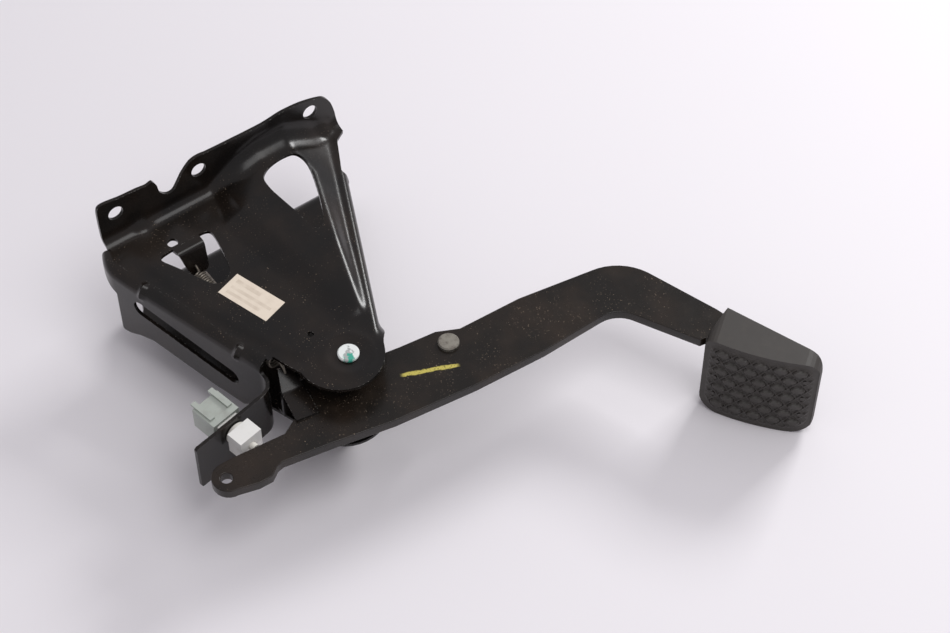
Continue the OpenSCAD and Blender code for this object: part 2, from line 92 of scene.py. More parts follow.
def studio():
    """Pale floor, an even white room and two soft lamps."""
    world = bpy.data.worlds.new("white_room")
    scene.world = world
    world.use_nodes = True
    back = world.node_tree.nodes["Background"]
    back.inputs["Color"].default_value = (0.97, 0.95, 1.0, 1)
    back.inputs["Strength"].default_value = 0.46
    soft_lamp("window_lamp", (-0.25, 1.95, 1.25), (0.15, 0.0, 0.0), (0.8, 0.6), 27)
    soft_lamp("ceiling_lamp", (0.9, 0.2, 1.9), (0.2, 0.0, 0.0), (1.2, 1.2), 14)
    mesh = bpy.data.meshes.new("floor")
    mesh.from_pydata([(-6, -6, FLOOR_Z), (6, -6, FLOOR_Z), (6, 6, FLOOR_Z), (-6, 6, FLOOR_Z)], [], [(0, 1, 2, 3)])
    floor = bpy.data.objects.new("floor", mesh)
    scene.collection.objects.link(floor)
    mat = bpy.data.materials.new("floor_board")
    mat.use_nodes = True
    bsdf = mat.node_tree.nodes["Principled BSDF"]
    bsdf.inputs["Base Color"].default_value = (0.86, 0.83, 0.86, 1)
    bsdf.inputs["Roughness"].default_value = 0.6
    floor.data.materials.append(mat)
    scene.view_settings.view_transform = "Standard"


# Finishes

class Finish:
    """A material of one principled shader whose colour, roughness and bump come from noise in object space."""

    def __init__(self, name, colour, rough, metal=0.0):
        self.mat = bpy.data.materials.new(name)
        self.mat.use_nodes = True
        self.tree = self.mat.node_tree
        self.bsdf = self.tree.nodes["Principled BSDF"]
        self.bsdf.inputs["Metallic"].default_value = metal
        self.place = self.node("ShaderNodeTexCoord").outputs["Object"]
        self.colour = colour
        self.rough = rough
        self.normal = None

    def node(self, kind, **values):
        n = self.tree.nodes.new(kind)
        for k, v in values.items():
            setattr(n, k, v)
        return n

    def feed(self, socket, value):
        """Links an output, or sets a plain number or colour on the socket itself."""
        if hasattr(value, "is_linked"):
            self.tree.links.new(value, socket)
        elif isinstance(value, tuple) and socket.type == "RGBA":
            socket.default_value = (*value, 1)
        else:
            socket.default_value = value

    def noise(self, size_mm, detail=3.0, rough=0.55, stretch=(1, 1, 1)):
        """Noise from 0 to 1 with features of about that size."""
        m = self.node("ShaderNodeMapping")
        m.inputs["Scale"].default_value = stretch
        self.tree.links.new(self.place, m.inputs["Vector"])
        n = self.node("ShaderNodeTexNoise")
        self.tree.links.new(m.outputs[0], n.inputs["Vector"])
        n.inputs["Scale"].default_value = 1 / (size_mm * MM)
        n.inputs["Detail"].default_value = detail
        n.inputs["Roughness"].default_value = rough
        return n.outputs["Fac"]

    def band(self, value, lo, hi):
        """Smooth step of a value between lo and hi."""
        n = self.node("ShaderNodeMapRange", interpolation_type="SMOOTHSTEP")
        self.feed(n.inputs["Value"], value)
        n.inputs["From Min"].default_value = lo
        n.inputs["From Max"].default_value = hi
        return n.outputs["Result"]

    def math(self, op, a, b=0.0):
        n = self.node("ShaderNodeMath", operation=op)
        self.feed(n.inputs[0], a)
        self.feed(n.inputs[1], b)
        return n.outputs[0]

    def tint(self, mask, colour):
        """Lays a colour over the one so far where the mask is 1."""
        n = self.node("ShaderNodeMix", data_type="RGBA")
        self.feed(n.inputs["Factor"], mask)
        self.feed(n.inputs[6], self.colour)
        self.feed(n.inputs[7], colour)
        self.colour = n.outputs[2]

    def roughen(self, mask, rough):
        n = self.node("ShaderNodeMix", data_type="FLOAT")
        self.feed(n.inputs["Factor"], mask)
        self.feed(n.inputs[2], self.rough)
        self.feed(n.inputs[3], rough)
        self.rough = n.outputs[0]

    def bump(self, height, depth_mm, strength=1.0):
        n = self.node("ShaderNodeBump")
        n.inputs["Strength"].default_value = strength
        n.inputs["Distance"].default_value = depth_mm * MM
        self.feed(n.inputs["Height"], height)
        if self.normal is not None:
            self.tree.links.new(self.normal, n.inputs["Normal"])
        self.normal = n.outputs[0]

    def edges(self, radius_mm):
        """1 at sharp edges: the difference between the true normal and one rounded over the radius."""
        bevel = self.node("ShaderNodeBevel", samples=6)
        bevel.inputs["Radius"].default_value = radius_mm * MM
        geo = self.node("ShaderNodeNewGeometry")
        dot = self.node("ShaderNodeVectorMath", operation="DOT_PRODUCT")
        self.tree.links.new(bevel.outputs[0], dot.inputs[0])
        self.tree.links.new(geo.outputs["Normal"], dot.inputs[1])
        return self.band(dot.outputs["Value"], 0.97, 0.75)

    def facing_up(self):
        geo = self.node("ShaderNodeNewGeometry")
        sep = self.node("ShaderNodeSeparateXYZ")
        self.tree.links.new(geo.outputs["Normal"], sep.inputs[0])
        return self.band(sep.outputs["Z"], 0.3, 0.9)

    def flat_on(self, origin_mm, deg):
        """Millimetres along u, v and up from a place on the part, turned about Z."""
        m = self.node("ShaderNodeMapping", vector_type="TEXTURE")
        m.inputs["Location"].default_value = [c * MM for c in origin_mm]
        m.inputs["Rotation"].default_value = (0, 0, math.radians(deg))
        m.inputs["Scale"].default_value = (MM, MM, MM)
        self.tree.links.new(self.place, m.inputs["Vector"])
        sep = self.node("ShaderNodeSeparateXYZ")
        self.tree.links.new(m.outputs[0], sep.inputs[0])
        return sep.outputs["X"], sep.outputs["Y"], sep.outputs["Z"]

    def slab(self, value, lo, hi, soft):
        """1 between lo and hi with soft flanks."""
        return self.math("MULTIPLY", self.band(value, lo - soft, lo + soft), self.band(value, hi + soft, hi - soft))

    def done(self):
        self.feed(self.bsdf.inputs["Base Color"], self.colour)
        self.feed(self.bsdf.inputs["Roughness"], self.rough)
        if self.normal is not None:
            self.tree.links.new(self.normal, self.bsdf.inputs["Normal"])
        return self.mat


def satin_paint(name, colour, sheen_brown, rough, dust, chips, swipe=False):
    """Satin black paint: slow clouds of painted brownish sheen, orange peel, pale dust specks on top, and chips along
    the edges.
    With a swipe, one stroke of yellow marking paint lies across the lever's boss."""
    f = Finish(name, colour, rough)
    f.bsdf.inputs["Specular IOR Level"].default_value = 0.38
    # painted sheen: slow clouds of the sheen colour stand in for the brownish reflection on the satin paint
    f.tint(f.band(f.noise(38, 4), 0.35, 0.75), sheen_brown)
    f.roughen(f.band(f.noise(11, 5, 0.62), 0.42, 0.78), rough + 0.05)
    up = f.facing_up()
    speck = f.band(f.noise(1.05, 1.0, 0.4), 0.735 - dust * 0.03, 0.80 - dust * 0.03)
    patch = f.band(f.noise(26, 3), 0.38, 0.66)
    speck = f.math("MULTIPLY", f.math("MULTIPLY", speck, patch), up)
    f.tint(f.math("MULTIPLY", speck, 0.55), (0.32, 0.24, 0.17))
    f.roughen(speck, 0.85)
    worn = f.math("MULTIPLY", f.edges(0.7), f.band(f.noise(2.6, 4, 0.7), 0.60 - chips, 0.68 - chips))
    f.tint(worn, (0.30, 0.29, 0.27))
    f.roughen(worn, 0.5)
    f.bump(f.noise(1.7, 2, 0.5), 0.05, 0.35)
    f.bump(f.noise(14, 2, 0.5), 0.20, 0.5)
    if swipe:
        u, v, w = f.flat_on((212.5, -18.5, 0), 66)
        v = f.math("ADD", v, f.math("MULTIPLY", f.math("SUBTRACT", f.noise(9, 2), 0.5), 4.0))
        stroke = f.math("MULTIPLY", f.slab(u, 0, 40, 2.0), f.slab(v, -1.6, 1.6, 0.5))
        stroke = f.math("MULTIPLY", stroke, f.band(f.noise(1.3, 3, 0.6), 0.34, 0.44))
        stroke = f.math("MULTIPLY", stroke, f.band(w, 7.5, 7.9))
        f.tint(stroke, (0.55, 0.47, 0.10))
        f.roughen(stroke, 0.6)
    return f.done()


def worn_steel(name, colour, dark, rough):
    """Dull plated steel: stains, fine scratches one way and a soft dimple grain."""
    f = Finish(name, colour, rough, 0.85)
    f.tint(f.band(f.noise(5, 5, 0.65), 0.40, 0.75), dark)
    f.roughen(f.band(f.noise(2.2, 3), 0.4, 0.7), rough + 0.2)
    f.bump(f.noise(0.5, 2, 0.5, (1, 9, 1)), 0.03, 0.4)
    f.bump(f.noise(1.4, 2), 0.05, 0.4)
    return f.done()


def moulded(name, colour, dirt, rough, grain=0.35):
    """Moulded plastic or rubber: fine grain, slow shade and dirt in patches."""
    f = Finish(name, colour, rough)
    f.tint(f.math("MULTIPLY", f.band(f.noise(9, 4, 0.6), 0.5, 0.8), 0.6), dirt)
    f.roughen(f.band(f.noise(6, 3), 0.4, 0.7), rough + 0.06)
    f.bump(f.noise(0.6, 2), 0.04, grain)
    return f.done()


def pivot_head_paint():
    """Bolt head dabbed with pale paint, one green dab near its middle and grey where the paint is thin."""
    f = Finish("marked_head", (0.80, 0.83, 0.81), 0.5)
    u, v, w = f.flat_on((191.8, -48.6, 0), 30)
    far = f.math("SQRT", f.math("ADD", f.math("MULTIPLY", u, u), f.math("MULTIPLY", v, v)))
    far = f.math("ADD", far, f.math("MULTIPLY", f.math("SUBTRACT", f.noise(5, 3, 0.6), 0.5), 7.0))
    f.tint(f.math("MULTIPLY", f.band(far, 4.6, 3.4), f.band(w, 20, 22)), (0.05, 0.38, 0.28))
    f.tint(f.band(f.noise(6.0, 3, 0.6), 0.56, 0.62), (0.40, 0.42, 0.41))
    f.roughen(f.band(f.noise(2.0, 3), 0.4, 0.7), 0.7)
    f.bump(f.noise(1.2, 3), 0.06, 0.5)
    return f.done()


def label_print():
    """Cream paper with its print left as plain faded bars. u runs along the label and v across it."""
    f = Finish("label_paper", (0.80, 0.70, 0.58), 0.75)
    f.tint(f.math("MULTIPLY", f.band(f.noise(7, 4), 0.4, 0.8), 0.35), (0.60, 0.50, 0.40))
    u, v, w = f.flat_on((88, -89, 0), 17)
    for u0, u1, v0, v1 in ((4, 26, 14.2, 17.6), (4, 40, 8.6, 11.2), (4, 34, 3.4, 6.0)):
        bar = f.math("MULTIPLY", f.slab(u, u0, u1, 0.3), f.slab(v, v0, v1, 0.25))
        bar = f.math("MULTIPLY", bar, f.band(f.noise(9, 2, 0.5), 0.10, 0.75))
        f.tint(f.math("MULTIPLY", bar, 0.55), (0.52, 0.43, 0.34))
    f.bump(f.noise(0.5, 2), 0.02, 0.3)
    return f.done()


def finishes():
    # the second colour of each paint is a painted sheen, laid in slow clouds
    black = satin_paint("black_paint", (0.006, 0.005, 0.0045), (0.016, 0.011, 0.008), 0.22, 1.0, 0.06)
    lever = satin_paint("lever_paint", (0.009, 0.007, 0.0055), (0.024, 0.016, 0.011), 0.27, 1.4, 0.05, True)
    return {
        "black_paint": black,
        "lever_paint": lever,
        "zinc": worn_steel("zinc", (0.42, 0.40, 0.36), (0.20, 0.18, 0.15), 0.42),
        "pin_steel": worn_steel("pin_steel", (0.32, 0.30, 0.26), (0.16, 0.14, 0.12), 0.45),
        "marked_head": pivot_head_paint(),
        "bush_plastic": moulded("bush_plastic", (0.78, 0.74, 0.62), (0.55, 0.50, 0.40), 0.5),
        "pad_rubber": moulded("pad_rubber", (0.034, 0.029, 0.025), (0.046, 0.038, 0.031), 0.50, 0.5),
        "buffer_rubber": moulded("buffer_rubber", (0.02, 0.02, 0.02), (0.04, 0.035, 0.03), 0.7),
        "spring_steel": worn_steel("spring_steel", (0.30, 0.27, 0.23), (0.12, 0.10, 0.08), 0.4),
        "white_plastic": moulded("white_plastic", (0.80, 0.79, 0.76), (0.62, 0.58, 0.52), 0.42, 0.2),
        "pale_plastic": moulded("pale_plastic", (0.70, 0.68, 0.62), (0.50, 0.46, 0.40), 0.45, 0.2),
        "grey_plastic": moulded("grey_plastic", (0.40, 0.43, 0.39), (0.28, 0.28, 0.25), 0.45, 0.2),
        "terminal_brass": worn_steel("terminal_brass", (0.62, 0.48, 0.22), (0.36, 0.26, 0.12), 0.35),
        "label_paper": label_print(),
    }


# Surfaces worked out with numpy. Lengths in these functions are millimetres until a mesh is made.

def edge_distance(points, outline):
    """Signed distance of points to a closed outline, positive outside, and the nearest point on it.
    The distance is the least over the outline's segments, and the sign comes from counting crossings."""
    a, b = outline, np.roll(outline, -1, axis=0)
    ab = b - a
    best = np.full(len(points), 1e9)
    near = np.zeros_like(points)
    odd = np.zeros(len(points), bool)
    for k in range(len(a)):
        t = np.clip(((points - a[k]) @ ab[k]) / max(ab[k] @ ab[k], 1e-12), 0, 1)
        q = a[k] + t[:, None] * ab[k]
        d = np.hypot(*(points - q).T)
        take = d < best
        best[take] = d[take]
        near[take] = q[take]
        crosses = (a[k, 1] > points[:, 1]) != (b[k, 1] > points[:, 1])
        with np.errstate(divide="ignore", invalid="ignore"):
            x_at = a[k, 0] + (points[:, 1] - a[k, 1]) * ab[k, 0] / ab[k, 1]
        odd ^= crosses & (points[:, 0] < x_at)
    return np.where(odd, -best, best), near


def cut_grid(u, v, outline, holes):
    """Grid of two parameters cut to an outline with holes. Points just past an edge step to the
    nearest point of that edge, and cells with no point inside are dropped."""
    uu, vv = np.meshgrid(u, v, indexing="ij")
    p = np.stack([uu.ravel(), vv.ravel()], 1)
    gap, near = edge_distance(p, outline)
    for hole in holes:
        g, n = edge_distance(p, hole)
        take = -g > gap
        gap[take] = -g[take]
        near[take] = n[take]
    shape = uu.shape
    cell = min(u[1] - u[0], v[1] - v[0])
    inside = (gap <= 0).reshape(shape)
    grown = np.zeros((shape[0] + 2, shape[1] + 2), bool)
    for i in range(3):
        for j in range(3):
            grown[i:i + shape[0], j:j + shape[1]] |= inside
    grown = grown[1:-1, 1:-1]
    snap = ((~inside) | (gap.reshape(shape) > -0.3 * cell)).ravel()
    p[snap] = near[snap]
    index = np.arange(p.shape[0]).reshape(shape)
    quad = np.stack([index[:-1, :-1], index[1:, :-1], index[1:, 1:], index[:-1, 1:]], -1).reshape(-1, 4)
    good = grown.ravel()[quad].all(1) & inside.ravel()[quad].any(1)
    quad = quad[good]
    d1, d2 = p[quad[:, 2]] - p[quad[:, 0]], p[quad[:, 3]] - p[quad[:, 1]]
    quad = quad[d1[:, 0] * d2[:, 1] - d1[:, 1] * d2[:, 0] > 0.16 * cell * cell]
    used, quad = np.unique(quad, return_inverse=True)
    return p[used], quad.reshape(-1, 4)


def whole_grid(count_u, count_v, closed_v=False):
    """Faces of a full grid of points, numbered row by row."""
    i, j = np.meshgrid(np.arange(count_u - 1), np.arange(count_v if closed_v else count_v - 1), indexing="ij")
    i2, j2 = i + 1, (j + 1) % count_v
    return np.stack([i * count_v + j, i2 * count_v + j, i2 * count_v + j2, i * count_v + j2], -1).reshape(-1, 4)


def piece(name, shells, body, slot, smooth_deg=40, wall=0.0):
    """Object from shells of points in millimetres and faces. Doubles are merged and faces turned outwards;
    wall, if given, thickens an open sheet on its back."""
    verts, faces, base = [], [], 0
    for p, f in shells:
        verts.append(np.asarray(p, float) * MM)
        faces.extend((np.asarray(f) + base).tolist())
        base += len(p)
    mesh = bpy.data.meshes.new(name)
    mesh.from_pydata(np.vstack(verts).tolist(), [], faces)
    bm = bmesh.new()
    bm.from_mesh(mesh)
    bmesh.ops.remove_doubles(bm, verts=bm.verts, dist=2e-4 if wall else 1e-6)
    bmesh.ops.dissolve_degenerate(bm, edges=bm.edges, dist=1e-6)
    bm.edges.index_update()
    if not wall:
        bmesh.ops.recalc_face_normals(bm, faces=bm.faces)
    rims = [e.index for e in bm.edges if e.is_boundary]
    bm.to_mesh(mesh)
    bm.free()
    o = bpy.data.objects.new(name, mesh)
    scene.collection.objects.link(o)
    if wall:
        m = o.modifiers.new("sheet", "SOLIDIFY")
        m.thickness = wall * MM
        m.offset = -1
    mesh.polygons.foreach_set("use_smooth", np.ones(len(mesh.polygons), bool))
    mesh.set_sharp_from_angle(angle=math.radians(smooth_deg))
    if wall:
        sharp = np.zeros(len(mesh.edges), bool)
        mesh.edges.foreach_get("use_edge_sharp", sharp)
        sharp[rims] = True
        mesh.edges.foreach_set("use_edge_sharp", sharp)
    mesh.materials.append(skins[slot])
    if body:
        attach(o, body)
    return o


def ring(centre, radius, count=40):
    """Circle of points about a centre."""
    t = np.linspace(0, 2 * np.pi, count, endpoint=False)
    return np.stack([centre[0] + radius * np.cos(t), centre[1] + radius * np.sin(t)], 1)


def fair(points, step=2.0, closed=True):
    """Smooth outline through points: a cubic between each two with slopes from their neighbours."""
    p = np.asarray(points, float)
    if not closed:
        p = np.vstack([p[:1], p, p[-1:]])
    out = []
    for k in range(len(p)) if closed else range(1, len(p) - 2):
        p0, p1, p2, p3 = p[k - 1], p[k], p[(k + 1) % len(p)], p[(k + 2) % len(p)]
        n = max(int(np.hypot(*(p2 - p1)) / step), 1)
        t = (np.arange(n) / n)[:, None]
        m1, m2 = (p2 - p0) * 0.42, (p3 - p1) * 0.42
        out.append((2 * t**3 - 3 * t**2 + 1) * p1 + (t**3 - 2 * t**2 + t) * m1
                   + (-2 * t**3 + 3 * t**2) * p2 + (t**3 - t**2) * m2)
    return np.vstack(out)


def spin(v, deg):
    """Points or directions of a plane turned about its origin."""
    c, s = math.cos(math.radians(deg)), math.sin(math.radians(deg))
    v = np.asarray(v, float)
    return np.stack([v[..., 0] * c - v[..., 1] * s, v[..., 0] * s + v[..., 1] * c], -1)


def ease(x, lo, hi):
    """Smooth step from 0 at lo to 1 at hi."""
    t = np.clip((x - lo) / (hi - lo), 0, 1)
    return t * t * (3 - 2 * t)


# Upper bracket: one stamped sheet, 2.5 mm thick

SHEET = 2.5
TOP = 28.0
PIVOT = np.array([188.0, -46.0])
WALL_AT = np.array([27.3, -139.5])
WALL_DEG = 16.4
TAB_R = 12.0
TAB_ARC = TAB_R * math.radians(95.9)
TAB_LEN = 62.0
WALL_LEN = 136.6
WALL_STEP = 1.9
GRID = 1.35
FOLD_R = 8.0
NOSE = PIVOT + [-3, -4.5]
NOSE_R = 31.0
PANEL_X = [0, 14, 40, 102, 158, 168]
PANEL_Y = np.array([[-40, -36, 1, 19, 63], [-43, -36, 0, 22, 56], [-52, -35, -3, 26, 43],
                    [-44, -28, -14, 4, 13], [-36, -20.5, -18, -15, -11], [-34, -24, -21, -19, -17]], float)
PANEL_H = np.array([[1.5, 18.5], [5, 17], [9, 11.5], [8.5, 9], [2.5, 3], [0.4, 0.5]], float)


def height_map():
    """Heights of the top face on a 1 mm grid: the panel's section runs through five knees whose places and
    heights are read off along X, then a step beside the wall, a ring round the pivot and a soft blur."""
    x = np.arange(-6.0, 232.0)
    y = np.arange(-150.0, 86.0)
    xx, yy = np.meshgrid(x, y, indexing="ij")
    knees = np.stack([np.interp(x, PANEL_X, PANEL_Y[:, k]) for k in range(5)], 1)[:, None, :]
    crest = np.interp(x, PANEL_X, PANEL_H[:, 0])[:, None]
    top = np.interp(x, PANEL_X, PANEL_H[:, 1])[:, None]

    def ramp(k, h0, h1):
        t = np.clip((yy - knees[..., k]) / (knees[..., k + 1] - knees[..., k]), 0, 1)
        return h0 + (h1 - h0) * t

    h = ramp(0, 0, crest)
    h = np.where(yy > knees[..., 1], ramp(1, crest, top), h)
    h = np.where(yy > knees[..., 3], ramp(3, top, 0), h)
    h = h * (1 - ease(xx, 160, 168))
    local = spin(np.stack([xx - WALL_AT[0], yy - WALL_AT[1]], -1), -WALL_DEG)
    line = np.interp(local[..., 0], [0, 10, 73, 137, 162, 176], [20, 18.5, 12.5, 17.5, 23.5, 25])
    step = WALL_STEP * (1 - ease(local[..., 1] - line, -2.4, 2.4))
    step = step * (1 - ease(local[..., 0], 150, 168)) * ease(local[..., 0], -6, 14)
    h = h - step
    far = np.hypot(xx - PIVOT[0], yy - PIVOT[1])
    h = h + 1.0 * np.exp(-((far - 17.5) / 2.6) ** 2) - 0.5 * (1 - ease(far, 9, 14))
    kernel = np.exp(-0.5 * (np.arange(-6, 7) / 1.9) ** 2)
    kernel /= kernel.sum()
    pad = np.pad(h, 6, mode="edge")
    pad = sum(kernel[k] * pad[k:k + h.shape[0], :] for k in range(13))
    pad = sum(kernel[k] * pad[:, k:k + h.shape[1]] for k in range(13))
    return x, y, pad


MAP_X, MAP_Y, MAP_H = height_map()


def face_z(x, y):
    """Height of the top face at points, read from the map between its four nearest cells."""
    i = np.clip(x - MAP_X[0], 0, len(MAP_X) - 1.001)
    j = np.clip(y - MAP_Y[0], 0, len(MAP_Y) - 1.001)
    i0, j0 = i.astype(int), j.astype(int)
    a, b = i - i0, j - j0
    h = (MAP_H[i0, j0] * (1 - a) * (1 - b) + MAP_H[i0 + 1, j0] * a * (1 - b)
         + MAP_H[i0, j0 + 1] * (1 - a) * b + MAP_H[i0 + 1, j0 + 1] * a * b)
    return TOP + h


def fillet_r(y):
    """The flange's fillet is tighter beside the panel and wide across it."""
    return 9 + 8 * ease(y, -42, -14) * (1 - ease(y, 40, 66))


LIP_A = np.array([48.0, 49.0])
EDGE_FROM = np.array([17.0, 61.5])
LIP_R = 5.5


def lip_line():
    """Start, direction and length of the straight right edge, which touches the nose's circle."""
    d = EDGE_FROM - NOSE
    turn = math.degrees(math.atan2(d[1], d[0])) - math.degrees(math.acos(NOSE_R / np.hypot(*d)))
    end = NOSE + NOSE_R * np.array([math.cos(math.radians(turn)), math.sin(math.radians(turn))])
    way = (end - LIP_A) / np.hypot(*(end - LIP_A))
    return LIP_A, way, np.hypot(*(end - LIP_A)), turn


def stamped_top(p):
    """Points of the flange and the top face from parameters (a, y). a is X on the flat part. Before the
    fillet's start it runs round the fillet and up the flange. Past the right edge's fold line the sheet
    turns down by an angle that fades towards the nose. Two hollows are pressed into the fillet."""
    a, y = p.T
    r = fillet_r(y)
    x0 = SHEET + r
    z0 = face_z(x0, y)
    start, way, length, _ = lip_line()
    side = np.array([-way[1], way[0]])
    rel = np.stack([a, y], 1) - start
    along = rel @ way
    past = rel @ side + LIP_R
    full = np.radians(90) * ease(along, -14, 4) * (1 - ease(along, length - 34, length - 4))
    past = np.where((past > 0) & (a > x0), past, 0)
    foot = np.stack([a, y], 1) - past[:, None] * side
    phi = np.minimum(past / LIP_R, full)
    rest = past - phi * LIP_R
    out = LIP_R * np.sin(phi) + rest * np.cos(phi)
    down = LIP_R * (1 - np.cos(phi)) + rest * np.sin(phi)
    q = foot + out[:, None] * side
    z = face_z(foot[:, 0], foot[:, 1]) - down
    bend = np.clip((x0 - a) / r, 0, np.pi / 2)
    up = np.maximum(x0 - a - r * np.pi / 2, 0)
    on_flange = a < x0
    x = np.where(on_flange, x0 - r * np.sin(bend), q[:, 0])
    z = np.where(on_flange, z0 + r * (1 - np.cos(bend)) + up, z)
    yy = np.where(on_flange, y, q[:, 1])
    dimple = np.exp(-((y + 101) / 6.0) ** 2) * np.exp(-((a - 3) / 7.0) ** 2)
    corner = np.exp(-((y - 58) / 5.0) ** 2) * np.exp(-((a - 4) / 6.0) ** 2)
    lift = 3.2 * dimple + 2.4 * corner
    return np.stack([x + lift * np.sin(bend) * 0.8, yy, z + lift * np.cos(bend) * 0.9], 1)


def flange_a(y, z):
    """Parameter a of a point of the flange at height z."""
    r = fillet_r(y)
    x0 = SHEET + r
    return x0 - r * np.pi / 2 - (z - face_z(x0, y) - r)


def wall_path(s):
    """Plan of the wall's outer face by length s: a corner that curves to the flange before 0, straight
    to the bend, an arc outward and the straight tab. Returns places and the way into the sheet."""
    s = np.asarray(s, float)
    way = spin([1.0, 0.0], WALL_DEG)
    side = spin([0.0, 1.0], WALL_DEG)
    back = np.minimum(s, 0)
    lean = back * 15 * 2 / 25**2
    p = WALL_AT + np.minimum(s, WALL_LEN)[:, None] * way + (15 * (back / 25) ** 2)[:, None] * side
    c, sn = np.cos(lean), np.sin(lean)
    n = np.stack([side[0] * c - side[1] * sn, side[0] * sn + side[1] * c], 1)
    theta = np.clip((s - WALL_LEN) / TAB_R, 0, TAB_ARC / TAB_R)
    centre = WALL_AT + WALL_LEN * way - TAB_R * side
    ray = np.cos(theta)[:, None] * side + np.sin(theta)[:, None] * way
    on = np.sin(theta)[:, None] * -side + np.cos(theta)[:, None] * way
    rest = np.maximum(s - WALL_LEN - TAB_ARC, 0)
    past = centre + TAB_R * ray + rest[:, None] * on
    bent = (s > WALL_LEN)[:, None]
    return np.where(bent, past, p), np.where(bent, ray, n)


DARTS = (26.0, 115.0)


def folded_wall(p):
    """Points of the wall from (s, d): d runs from the fold line round the fold and down the wall.
    Two darts are pressed into the fold."""
    s, d = p[:, 0], p[:, 1]
    at, n = wall_path(s)
    phi = np.clip(d / FOLD_R, 0, np.pi / 2)
    rest = np.maximum(d - FOLD_R * np.pi / 2, 0)
    press = sum(np.clip(1 - np.abs(s - c) / 3.6, 0, 1) for c in DARTS)
    press = -3.6 * press**1.1 * ease(d, -1, 4) * (1 - ease(d, 10, 17))
    inward = FOLD_R * (1 - np.sin(phi)) + press * np.sin(phi) * 0.7 - np.minimum(d, 0)
    base = face_z(*(at + (FOLD_R - np.minimum(d, 0))[:, None] * n).T)
    z = base - FOLD_R * (1 - np.cos(phi)) - rest - press * np.cos(phi) * 0.7 - 0.03 * (1 - ease(d, 0, 3))
    q = at + inward[:, None] * n
    return np.stack([q[:, 0], q[:, 1], z], 1)


def wall_d(z):
    """Parameter d on the wall at height z."""
    return (TOP - WALL_STEP - FOLD_R - np.asarray(z, float)) + FOLD_R * np.pi / 2


def upper_bracket():
    """The stamped bracket: flange, raised panel, nose and lip from one grid, fold, wall and tab from another."""
    rim = fair([(-131, 26), (-131.9, 37.4), (-132, 64), (-127.3, 68.6), (-112.8, 66.7), (-98.9, 65.9), (-91, 64.8),
                (-86.4, 66.0), (-83.2, 60.6), (-81.5, 52.1), (-76.3, 46.6), (-70.3, 46.8), (-62.1, 58.7),
                (-54.5, 66.2), (-47.5, 68.0), (-35.7, 67), (5.5, 66.2), (24.9, 68.4), (42.3, 67.2), (59.7, 62),
                (66.3, 53.7), (69.5, 42), (70.5, 34)], 1.5, False)
    rim = np.stack([flange_a(rim[:, 0], rim[:, 1]), rim[:, 0]], 1)
    start, way, length, turn = lip_line()
    side = np.array([-way[1], way[0]])
    t = np.linspace(0, length, 40)
    reach = 10.6 * ease(t, -6, 2) * (1 - ease(t, length - 36, length - 3))
    lip = start + t[:, None] * way + reach[:, None] * side
    arc = np.radians(np.linspace(turn, -95, 40))
    nose = NOSE + NOSE_R * np.stack([np.cos(arc), np.sin(arc)], 1)
    s = np.linspace(WALL_LEN, -21, 60)
    at, n = wall_path(s)
    fold = at + FOLD_R * n
    heel = at[:1] + spin(np.array([[3.0, 12.0]]), WALL_DEG)
    outline = np.vstack([rim, [(11.5, 70.5), EDGE_FROM, (44, 47.0), (46.5, 48.0)], lip, nose, heel, fold,
                         [(7.5, -131.5)]])
    flange_holes = []
    for y in (-118, -48.5, 48.5):
        c = ring((y, 54.0), 6.0)
        flange_holes.append(np.stack([flange_a(c[:, 0], c[:, 1]), c[:, 0]], 1))
    opening = fair([(26.9, -9.3), (22.6, -4.5), (20.2, 8.8), (21.0, 19.7), (25.3, 24.6), (34.1, 25.3),
                    (57.6, 17.4), (81.5, 6.2), (87.5, 0.4), (84.5, -5.0), (64.9, -6.9), (38, -9.9)], 1.5)
    window = fair([(36, -103), (34.6, -84), (34.5, -67), (38.8, -62.8), (56.6, -65.6), (75.7, -71.1),
                   (81.8, -79.5), (79.9, -86), (74.6, -90), (52.1, -99.9), (40, -105.5)], 1.5)
    holes = flange_holes + [opening, window, ring((29.7, -90.6), 4), ring((158, -57.4), 2.5), ring(PIVOT, 6.4)]
    top, top_faces = cut_grid(np.arange(-48, 218, GRID), np.arange(-136, 74, GRID), outline, holes)
    end = WALL_LEN + TAB_ARC + TAB_LEN
    tab = [(end - 1, -28), (end, -26), (end, 14.5), (end - 1.5, 16), (WALL_LEN + 1, 16), (WALL_LEN, 17)]
    foot = [(0.6, 3), (0.6, -36), (2, -37.5), (8, -36), (18, -31), (32, -27), (60, -30), (88, -33),
            (117, -34), (129, -26), (134, -12), (139, -10.5), (142, -14), (146, -27.5), (152, -28)]
    side_line = [(-21, 15), (-12, 9), (-4, 5)] + foot + tab
    under_top = [(WALL_LEN, -1.4), (-21, -1.4)]
    wall_line = under_top + [(float(u), float(wall_d(w))) for u, w in side_line]
    slot_line = np.array([[24, 2.75], [108, -8.25]])
    ang = np.linspace(-np.pi / 2, np.pi / 2, 20)
    tilt = math.atan2(-11, 84)
    r = 7.0
    right = slot_line[1] + r * np.stack([np.cos(ang + tilt), np.sin(ang + tilt)], 1)
    left = slot_line[0] + r * np.stack([np.cos(ang + tilt + np.pi), np.sin(ang + tilt + np.pi)], 1)
    slot = np.vstack([right, left])
    slot = np.stack([slot[:, 0], wall_d(slot[:, 1])], 1)
    tab_hole = ring((WALL_LEN + TAB_ARC + 28, 4.0), 7.0)
    tab_hole = np.stack([tab_hole[:, 0], wall_d(tab_hole[:, 1])], 1)
    side_p, side_faces = cut_grid(np.arange(-24, end + 3, GRID), np.arange(-2 * GRID, 74, GRID),
                                  np.array(wall_line), [slot, tab_hole])
    shells = [(stamped_top(top), top_faces), (folded_wall(side_p), side_faces[:, ::-1]), spring_flap()]
    o = piece("stamped_bracket", shells, "bracket", "black_paint", 38, SHEET)
    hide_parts("upper_bracket")


